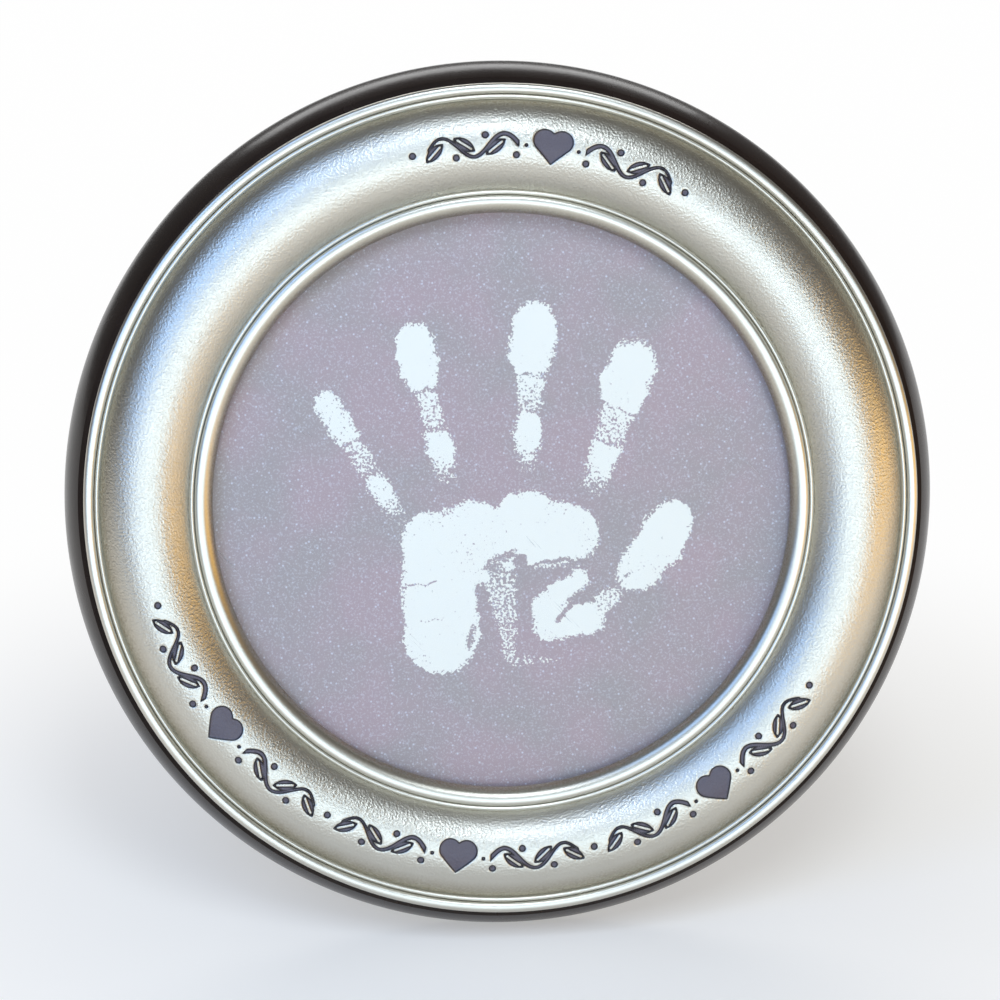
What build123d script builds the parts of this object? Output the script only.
from build123d import *
from math import copysign, cos, radians, sin, sqrt
import os

# A round tabletop frame for a baby's handprint. A cast metal ring with a half-round moulding
# faces a dark lacquered carrier ring, which holds the glass, the card and a velvet back panel.
# Four turn buttons keep the panel in, and an easel leg on a knuckled hinge stands the frame up.
# Origin: on the surface that it stands on, in the middle of its width and depth. The picture
# faces -Y and leans back, and +Z is up.

# How it stands, in degrees
lean = 15.0
leg_angle = 26.0

# Face ring, from the opening outwards
view_diameter = 102.8
lip_width = 1.8
ridge_width = 0.95
bulge_width = 15.3
lip_height = 1.6
bulge_rise = 4.0
cast_wall = 1.8
hollow_margin = 2.2
boss_radius = 2.9

# Carrier ring
rim_width = 3.8
rim_slope = 2.8
rim_edge = 0.8
well_clearance = 0.4

# What lies in the well, from the front
glass_thickness = 2.0
glass_overlap = 3.2
glass_seam = 0.3
card_thickness = 0.4
pad_thickness = 3.2
board_thickness = 3.0
velvet_thickness = 0.4
velvet_proud = 0.2

# Screws
screw_count = 4
thread_clearance = 0.03
face_screw_radius = 1.2
face_screw_clearance = 0.3
face_screw_head_radius = 2.3
face_screw_head_height = 1.6
face_screw_sink = 3.0
face_screw_bite = 3.3
button_screw_radius = 1.25
button_screw_head_radius = 3.0
button_screw_head_height = 1.2
button_screw_bite = 5.0
drive_length = 2.6
drive_width = 0.6
drive_depth = 0.7

# Turn buttons
button_inset = 13.0
button_thickness = 0.8
button_eye_radius = 3.6
button_tip_radius = 2.6
button_reach = 10.5
button_flat = 8.6
button_lift = 1.4
washer_radius = 3.2
washer_thickness = 0.4
button_running_fit = 0.07
button_play = 0.08

# Easel hinge
hinge_rise = 35.0
knuckle_count = 5
knuckle_length = 4.4
knuckle_gap = 0.2
knuckle_radius = 1.9
knuckle_clearance = 0.25
hinge_pin_radius = 1.0
hinge_running_fit = 0.05
pin_end = 0.6
leaf_thickness = 0.8
panel_leaf_length = 14.0
leg_leaf_length = 16.0
leaf_corner = 2.0
fold_gap = 0.3

# Easel leg
leg_thickness = 2.5
leg_top_width = 25.0
leg_foot_width = 46.0
leg_neck_length = 18.0
leg_top_gap = 0.7
leg_corner = 3.0

# Rivets
rivet_radius = 1.0
rivet_fit = 0.03
rivet_head_radius = 1.8
rivet_head_height = 0.9
rivet_tail_radius = 1.7
rivet_tail_depth = 0.6
rivet_spacing = 14.0

# Stay ribbon
ribbon_width = 12.0
ribbon_thickness = 0.4
ribbon_tab = 9.0
ribbon_rivet_inset = 5.0
ribbon_bend = 0.9
ribbon_seat_gap = 0.02
stay_distance = 73.0

# Radii of the face ring and the carrier
view_radius = view_diameter / 2
bulge_inner_radius = view_radius + lip_width + ridge_width
bulge_outer_radius = bulge_inner_radius + bulge_width
bulge_middle_radius = bulge_inner_radius + bulge_width / 2
face_radius = bulge_outer_radius + ridge_width + lip_width
rim_radius = face_radius + rim_width
glass_radius = view_radius + glass_overlap
well_radius = glass_radius + well_clearance
button_pivot_radius = rim_radius - button_inset

# Levels in front of the carrier's back face
velvet_back = -velvet_proud
board_back = velvet_back + velvet_thickness
board_front = board_back + board_thickness
card_back = board_front + pad_thickness
glass_back = card_back + card_thickness
seat = glass_back + glass_thickness

# The moulding's arc: its radius, and its middle above the ring's seat
bulge_radius = ((bulge_width / 2) ** 2 + bulge_rise**2) / (2 * bulge_rise)
bulge_centre_height = lip_height + bulge_rise - bulge_radius
hollow_radius = bulge_radius - cast_wall
hollow_half_width = bulge_width / 2 - hollow_margin
hollow_side_height = bulge_centre_height + sqrt(hollow_radius**2 - hollow_half_width**2)
hollow_roof_height = bulge_centre_height + hollow_radius

# Directions of the leaning frame and of the open leg
right = Vector(1, 0, 0)
up = Vector(0, sin(radians(lean)), cos(radians(lean)))
front = Vector(0, -cos(radians(lean)), sin(radians(lean)))
rear = front * -1
leg_lean = leg_angle - lean
leg_down = Vector(0, sin(radians(leg_lean)), -cos(radians(leg_lean)))
leg_rear = Vector(0, cos(radians(leg_lean)), sin(radians(leg_lean)))

# The leg's faces behind the hinge axis, with its leaf level with the knuckles
leg_skin = knuckle_radius - leaf_thickness
leg_back = leg_skin - velvet_thickness
leg_front = leg_back - leg_thickness

# The hinge axis stands clear of the velvet for the knuckles and for the folded leg
axis_height = max(fold_gap - leg_front, knuckle_radius + knuckle_clearance)
axis_depth = velvet_proud + axis_height

# The frame stands on the round rear edge of its rim, and the leg reaches the same floor
back_height = (rim_radius - rim_edge) * up.Z - rim_edge * front.Z + rim_edge
axis_above_floor = back_height + hinge_rise * up.Z + axis_depth * rear.Z
axis_behind_back = hinge_rise * up.Y + axis_depth * rear.Y
foot_reach = (axis_above_floor + leg_skin * leg_rear.Z) / -leg_down.Z
foremost = bulge_middle_radius * up.Y - (seat + bulge_centre_height) * front.Y + bulge_radius
rearmost = axis_behind_back + foot_reach * leg_down.Y + leg_skin * leg_rear.Y
back_centre = Vector(0, (foremost - rearmost) / 2, back_height)
hinge_point = back_centre + up * hinge_rise + rear * axis_depth

# Planes: across the back, through the ring's section, behind the panel and along the leg
back_plane = Plane(origin=back_centre, x_dir=right, z_dir=front)
section_plane = Plane(origin=back_centre, x_dir=right, z_dir=up * -1)
panel_plane = Plane(origin=hinge_point, x_dir=right, z_dir=rear)
leg_plane = Plane(origin=hinge_point, x_dir=right, z_dir=leg_rear)
panel_side_plane = Plane(origin=hinge_point, x_dir=up * -1, z_dir=right * -1)
leg_side_plane = Plane(origin=hinge_point, x_dir=leg_down, z_dir=right * -1)
ring_axis = Axis(back_centre, front)

# Where screws, buttons and rivets sit, on the planes that carry them
face_screw_places = PolarLocations(bulge_middle_radius, screw_count)
button_places = PolarLocations(button_pivot_radius, screw_count, start_angle=45)
panel_leaf_drop = -(knuckle_radius + panel_leaf_length) / 2
leg_leaf_drop = (knuckle_radius + leg_leaf_length) / 2
rivet_sides = (-rivet_spacing / 2, rivet_spacing / 2)
panel_leaf_rivets = [(side, hinge_rise - panel_leaf_drop) for side in rivet_sides]
leg_leaf_rivets = [(side, leg_leaf_drop) for side in rivet_sides]
stay_rise = hinge_rise - stay_distance
panel_stay_rivet = [(0, stay_rise + ribbon_rivet_inset)]
leg_stay_rivet = [(0, stay_distance + ribbon_rivet_inset)]

os.makedirs("parts", exist_ok=True)


def finish(part, name):
    """Names the piece and writes it to its file."""
    part.label = name
    export_step(part, f"parts/{name}.step")


def bead(start, width, rise):
    """A round bead of the moulding, from start to a point as high and one width further out."""
    return ThreePointArc(start, start + Vector(width / 2, rise), start + Vector(width, 0))


def peak(start, width):
    """A fine peaked ridge between two beads, half as high as it is wide."""
    return Polyline(start, start + Vector(width / 2, width / 2), start + Vector(width, 0))


def make_disc(level, thickness, holes=()):
    """A disc of the stack in the well, with a hole for each rivet that passes through it."""
    with BuildPart() as disc:
        with BuildSketch(back_plane.offset(level)):
            Circle(glass_radius)
            if holes:
                with Locations(*holes):
                    Circle(rivet_radius + rivet_fit, mode=Mode.SUBTRACT)
        extrude(amount=thickness)
    return disc.part


def make_screws(places, seat_level, head_radius, head_height, shank_radius, tip_level):
    """Screws with a bevelled, cross-slotted head behind seat_level and a shank to tip_level."""
    with BuildPart() as screws:
        with BuildSketch(back_plane.offset(seat_level)):
            with places:
                Circle(head_radius)
        extrude(amount=-head_height)
        chamfer(screws.faces().sort_by(ring_axis)[:screw_count].edges(), length=head_height / 2)
        with BuildSketch(back_plane.offset(seat_level)):
            with places:
                Circle(shank_radius)
        extrude(amount=tip_level - seat_level)
        with BuildSketch(back_plane.offset(seat_level - head_height)):
            with places:
                Rectangle(drive_length, drive_width)
                Rectangle(drive_width, drive_length)
        extrude(amount=drive_depth, mode=Mode.SUBTRACT)
    return screws.part


def make_rivets(plane, places, head_level, tail_level):
    """Rivets with a bevelled head seated at head_level and a flat tail sunk at tail_level."""
    outward = copysign(1, head_level - tail_level)
    crown = -1 if outward > 0 else 0
    with BuildPart() as rivets:
        with BuildSketch(plane.offset(head_level)):
            with Locations(*places):
                Circle(rivet_head_radius)
        extrude(amount=outward * rivet_head_height)
        heads = rivets.faces().group_by(Axis(plane.origin, plane.z_dir))
        chamfer(heads[crown].edges(), length=rivet_head_height / 2)
        with BuildSketch(plane.offset(head_level)):
            with Locations(*places):
                Circle(rivet_radius)
        extrude(amount=tail_level - head_level)
        with BuildSketch(plane.offset(tail_level)):
            with Locations(*places):
                Circle(rivet_tail_radius)
        extrude(amount=outward * rivet_tail_depth)
    return rivets.part


# Face ring: a lip, a fine ridge, the half-round moulding, and the same ridge and lip outside
with BuildPart() as face_ring:
    with BuildSketch(section_plane):
        with BuildLine():
            opening_wall = Line((view_radius, seat), (view_radius, seat + lip_height))
            inner_lip = bead(opening_wall @ 1, lip_width, lip_width / 2)
            inner_ridge = peak(inner_lip @ 1, ridge_width)
            moulding = bead(inner_ridge @ 1, bulge_width, bulge_rise)
            outer_ridge = peak(moulding @ 1, ridge_width)
            outer_lip = bead(outer_ridge @ 1, lip_width, lip_width / 2)
            side_wall = Line(outer_lip @ 1, (face_radius, seat))
            Line(side_wall @ 1, opening_wall @ 0)
        make_face()
        with BuildLine():
            hollow_inner = Line(
                (bulge_middle_radius - hollow_half_width, seat),
                (bulge_middle_radius - hollow_half_width, seat + hollow_side_height),
            )
            hollow_roof = ThreePointArc(
                hollow_inner @ 1,
                (bulge_middle_radius, seat + hollow_roof_height),
                (bulge_middle_radius + hollow_half_width, seat + hollow_side_height),
            )
            hollow_outer = Line(hollow_roof @ 1, (bulge_middle_radius + hollow_half_width, seat))
            Line(hollow_outer @ 1, hollow_inner @ 0)
        make_face(mode=Mode.SUBTRACT)
    revolve(axis=ring_axis, revolution_arc=360)
    with BuildSketch(back_plane.offset(seat)):
        with face_screw_places:
            Circle(boss_radius)
    extrude(amount=hollow_roof_height + cast_wall / 3)
    with BuildSketch(back_plane.offset(seat)):
        with face_screw_places:
            Circle(face_screw_radius + thread_clearance)
    extrude(amount=face_screw_bite + thread_clearance, mode=Mode.SUBTRACT)
finish(face_ring.part, "face_ring")

# Carrier ring: a flat back, a well for the stack and a rounded rim that spreads rearwards
with BuildPart() as carrier_ring:
    with BuildSketch(section_plane):
        with BuildLine():
            well_wall = Line((well_radius, seat), (well_radius, 0))
            back_face = Line(well_wall @ 1, (rim_radius - rim_edge, 0))
            back_edge = TangentArc(back_face @ 1, (rim_radius, rim_edge), tangent=(1, 0))
            flank = TangentArc(back_edge @ 1, (rim_radius - rim_slope, seat), tangent=(0, 1))
            Line(flank @ 1, well_wall @ 0)
        make_face()
    revolve(axis=ring_axis, revolution_arc=360)
    with BuildSketch(back_plane):
        with face_screw_places:
            Circle(face_screw_radius + face_screw_clearance)
    extrude(amount=seat, mode=Mode.SUBTRACT)
    with BuildSketch(back_plane):
        with face_screw_places:
            Circle(face_screw_head_radius + face_screw_clearance)
    extrude(amount=face_screw_sink, mode=Mode.SUBTRACT)
    with BuildSketch(back_plane):
        with button_places:
            Circle(button_screw_radius + thread_clearance)
    extrude(amount=button_screw_bite + thread_clearance, mode=Mode.SUBTRACT)
finish(carrier_ring.part, "carrier_ring")

# Glass, with its sharp edges seamed
with BuildPart() as glass_lens:
    with BuildSketch(back_plane.offset(glass_back)):
        Circle(glass_radius)
    extrude(amount=glass_thickness)
    chamfer(glass_lens.edges(), length=glass_seam)
finish(glass_lens.part, "glass_lens")

# The card with the handprint, and the pad that presses it to the glass
finish(make_disc(card_back, card_thickness), "handprint_card")
finish(make_disc(board_front, pad_thickness), "filler_pad")

# Back panel, sunk in front for the rivets' tails, with its velvet skin behind
panel_rivets = panel_leaf_rivets + panel_stay_rivet
with BuildPart() as back_panel:
    add(make_disc(board_back, board_thickness, panel_rivets))
    with BuildSketch(back_plane.offset(board_front)):
        with Locations(*panel_rivets):
            Circle(rivet_tail_radius + rivet_fit)
    extrude(amount=-rivet_tail_depth, mode=Mode.SUBTRACT)
finish(back_panel.part, "back_panel")
finish(make_disc(velvet_back, velvet_thickness, panel_rivets), "back_velvet")

# Screws that hold the face ring, each sunk in its counterbore
face_screws = make_screws(
    face_screw_places,
    face_screw_sink,
    face_screw_head_radius,
    face_screw_head_height,
    face_screw_radius,
    seat + face_screw_bite,
)
finish(face_screws, "face_screws")

# Washers under the turn buttons, and the screws that the buttons turn on
with BuildPart() as button_washers:
    with BuildSketch(back_plane):
        with button_places:
            Circle(washer_radius)
            Circle(button_screw_radius + button_running_fit, mode=Mode.SUBTRACT)
    extrude(amount=-washer_thickness)
finish(button_washers.part, "button_washers")

button_seat = washer_thickness + button_play
button_screws = make_screws(
    button_places,
    -button_seat - button_thickness - button_play,
    button_screw_head_radius,
    button_screw_head_height,
    button_screw_radius,
    button_screw_bite,
)
finish(button_screws, "button_screws")

# Turn buttons: a pressed plate with an eye, a narrower tip over the panel and a lifted end
button_end = button_reach + button_tip_radius
for quarter, corner in enumerate(("upper_right", "upper_left", "lower_left", "lower_right")):
    turn = radians(45 + 90 * quarter)
    outward = right * cos(turn) + up * sin(turn)
    pivot = back_centre + outward * button_pivot_radius
    button_plane = Plane(origin=pivot, x_dir=outward * -1, z_dir=rear)
    profile_plane = Plane(origin=pivot, x_dir=outward * -1, z_dir=rear.cross(outward))
    with BuildPart() as turn_button:
        with BuildSketch(button_plane.offset(button_seat)):
            Circle(button_eye_radius)
            with Locations((button_reach, 0)):
                Circle(button_tip_radius)
            make_hull()
            Circle(button_screw_radius + button_running_fit, mode=Mode.SUBTRACT)
        extrude(amount=button_thickness + button_lift)
        with BuildSketch(profile_plane):
            with BuildLine():
                Polyline(
                    (-button_eye_radius, button_seat),
                    (button_flat, button_seat),
                    (button_end, button_seat + button_lift),
                    (button_end, button_seat + button_lift + button_thickness),
                    (button_flat - button_thickness / 3, button_seat + button_thickness),
                    (-button_eye_radius, button_seat + button_thickness),
                    close=True,
                )
            make_face()
        extrude(amount=button_eye_radius, both=True, mode=Mode.INTERSECT)
    finish(turn_button.part, f"turn_button_{corner}")

# Hinge: five knuckles in turn on the panel's leaf and on the leg's
hinge_width = knuckle_count * knuckle_length + (knuckle_count - 1) * knuckle_gap
knuckle_pitch = knuckle_length + knuckle_gap
first_knuckle = -(knuckle_count - 1) / 2 * knuckle_pitch
knuckle_places = [first_knuckle + index * knuckle_pitch for index in range(knuckle_count)]
panel_knuckles = knuckle_places[0::2]
leg_knuckles = knuckle_places[1::2]
notch_depth = knuckle_radius + knuckle_clearance
notch_width = knuckle_length + 2 * knuckle_gap
bore_radius = hinge_pin_radius + hinge_running_fit

with BuildPart() as hinge_leaf_panel:
    with BuildSketch(panel_plane.offset(-axis_height)):
        with Locations((0, -panel_leaf_length / 2)):
            RectangleRounded(hinge_width, panel_leaf_length, leaf_corner)
        with Locations((0, -leaf_corner)):
            Rectangle(hinge_width, 2 * leaf_corner)
        with Locations(*[(place, 0) for place in leg_knuckles]):
            Rectangle(notch_width, 2 * notch_depth, mode=Mode.SUBTRACT)
        with Locations(*[(side, panel_leaf_drop) for side in rivet_sides]):
            Circle(rivet_radius + rivet_fit, mode=Mode.SUBTRACT)
    extrude(amount=leaf_thickness)
    for place in panel_knuckles:
        with BuildSketch(panel_side_plane.offset(-place)):
            Circle(knuckle_radius)
            with Locations((-knuckle_radius / 2, -axis_height / 2)):
                Rectangle(knuckle_radius, axis_height)
            Circle(bore_radius, mode=Mode.SUBTRACT)
        extrude(amount=knuckle_length / 2, both=True)
finish(hinge_leaf_panel.part, "hinge_leaf_panel")

with BuildPart() as hinge_leaf_leg:
    with BuildSketch(leg_plane.offset(leg_skin)):
        with Locations((0, leg_leaf_length / 2)):
            RectangleRounded(hinge_width, leg_leaf_length, leaf_corner)
        with Locations((0, leaf_corner)):
            Rectangle(hinge_width, 2 * leaf_corner)
        with Locations(*[(place, 0) for place in panel_knuckles]):
            Rectangle(notch_width, 2 * notch_depth, mode=Mode.SUBTRACT)
        with Locations(*leg_leaf_rivets):
            Circle(rivet_radius + rivet_fit, mode=Mode.SUBTRACT)
    extrude(amount=leaf_thickness)
    for place in leg_knuckles:
        with BuildSketch(leg_side_plane.offset(-place)):
            Circle(knuckle_radius)
            Circle(bore_radius, mode=Mode.SUBTRACT)
        extrude(amount=knuckle_length / 2, both=True)
finish(hinge_leaf_leg.part, "hinge_leaf_leg")

# Hinge pin with both ends peened over
with BuildPart() as hinge_pin:
    with BuildSketch(panel_side_plane):
        Circle(hinge_pin_radius)
    extrude(amount=hinge_width / 2 + pin_end, both=True)
    with BuildSketch(
        panel_side_plane.offset(hinge_width / 2),
        panel_side_plane.offset(-hinge_width / 2 - pin_end),
    ):
        Circle(hinge_pin_radius + pin_end / 2)
    extrude(amount=pin_end)
finish(hinge_pin.part, "hinge_pin")

# Easel leg: a narrow neck under the hinge that widens to the foot, cut level with the floor
with BuildSketch() as leg_shape:
    with BuildLine():
        leg_edge = Polyline(
            (0, knuckle_radius + leg_top_gap),
            (leg_top_width / 2, knuckle_radius + leg_top_gap),
            (leg_top_width / 2, leg_neck_length),
            (leg_foot_width / 2, foot_reach),
            (0, foot_reach),
        )
        mirror(leg_edge, about=Plane.YZ)
    make_face()
    fillet(leg_shape.vertices().group_by(Axis.Y)[0], radius=leg_corner)
    with Locations(*leg_leaf_rivets):
        Circle(rivet_radius + rivet_fit, mode=Mode.SUBTRACT)

with BuildPart() as easel_leg:
    with BuildSketch(leg_plane.offset(leg_front)):
        add(leg_shape.sketch)
        with Locations(*leg_stay_rivet):
            Circle(rivet_radius + rivet_fit, mode=Mode.SUBTRACT)
    extrude(amount=leg_thickness)
    with BuildSketch(leg_plane.offset(leg_front)):
        with Locations(*leg_leaf_rivets):
            Circle(rivet_tail_radius + rivet_fit)
    extrude(amount=rivet_tail_depth, mode=Mode.SUBTRACT)
    with BuildSketch(leg_plane.offset(leg_back)):
        with Locations(*leg_stay_rivet):
            Circle(rivet_tail_radius + rivet_fit)
    extrude(amount=-rivet_tail_depth, mode=Mode.SUBTRACT)
    split(bisect_by=Plane.XY, keep=Keep.TOP)
finish(easel_leg.part, "easel_leg")

with BuildPart() as leg_velvet:
    with BuildSketch(leg_plane.offset(leg_back)):
        add(leg_shape.sketch)
    extrude(amount=velvet_thickness)
    split(bisect_by=Plane.XY, keep=Keep.TOP)
finish(leg_velvet.part, "leg_velvet")

# Rivets of the hinge leaves
finish(
    make_rivets(back_plane, panel_leaf_rivets, velvet_back - leaf_thickness, board_front),
    "hinge_rivets_panel",
)
finish(make_rivets(leg_plane, leg_leaf_rivets, knuckle_radius, leg_front), "hinge_rivets_leg")

# Stay ribbon: flat on the velvet, taut across to the leg, flat on the leg's inner face
ribbon_on_panel = back_centre + rear * (velvet_proud + ribbon_thickness / 2)
ribbon_on_leg = hinge_point + leg_rear * (leg_front - ribbon_seat_gap - ribbon_thickness / 2)
ribbon_route = [
    ribbon_on_panel + up * (stay_rise + ribbon_tab),
    ribbon_on_panel + up * stay_rise,
    ribbon_on_leg + leg_down * stay_distance,
    ribbon_on_leg + leg_down * (stay_distance + ribbon_tab),
]
with BuildPart() as stay_ribbon:
    with BuildSketch(Plane.YZ):
        with BuildLine() as ribbon_line:
            FilletPolyline(*[(place.Y, place.Z) for place in ribbon_route], radius=ribbon_bend)
        trace(ribbon_line.edges(), line_width=ribbon_thickness)
    extrude(amount=ribbon_width / 2, both=True)
    with BuildSketch(back_plane.offset(velvet_back)):
        with Locations(*panel_stay_rivet):
            Circle(rivet_radius + rivet_fit)
    extrude(amount=-2 * ribbon_thickness, mode=Mode.SUBTRACT)
    with BuildSketch(leg_plane.offset(leg_front)):
        with Locations(*leg_stay_rivet):
            Circle(rivet_radius + rivet_fit)
    extrude(amount=-2 * ribbon_thickness, mode=Mode.SUBTRACT)
finish(stay_ribbon.part, "stay_ribbon")

# Rivets that pin the ribbon's two ends
stay_head_on_panel = velvet_back - ribbon_thickness
stay_head_on_leg = leg_front - ribbon_seat_gap - ribbon_thickness
finish(
    make_rivets(back_plane, panel_stay_rivet, stay_head_on_panel, board_front),
    "stay_rivet_panel",
)
finish(make_rivets(leg_plane, leg_stay_rivet, stay_head_on_leg, leg_back), "stay_rivet_leg")

# Sizes that help to place and check the frame
print("rim radius", round(rim_radius, 3), "seat", round(seat, 3))
print("back centre", back_centre, "hinge", hinge_point)
print("foot reach", round(foot_reach, 3), "depth", round(foremost + rearmost, 3))
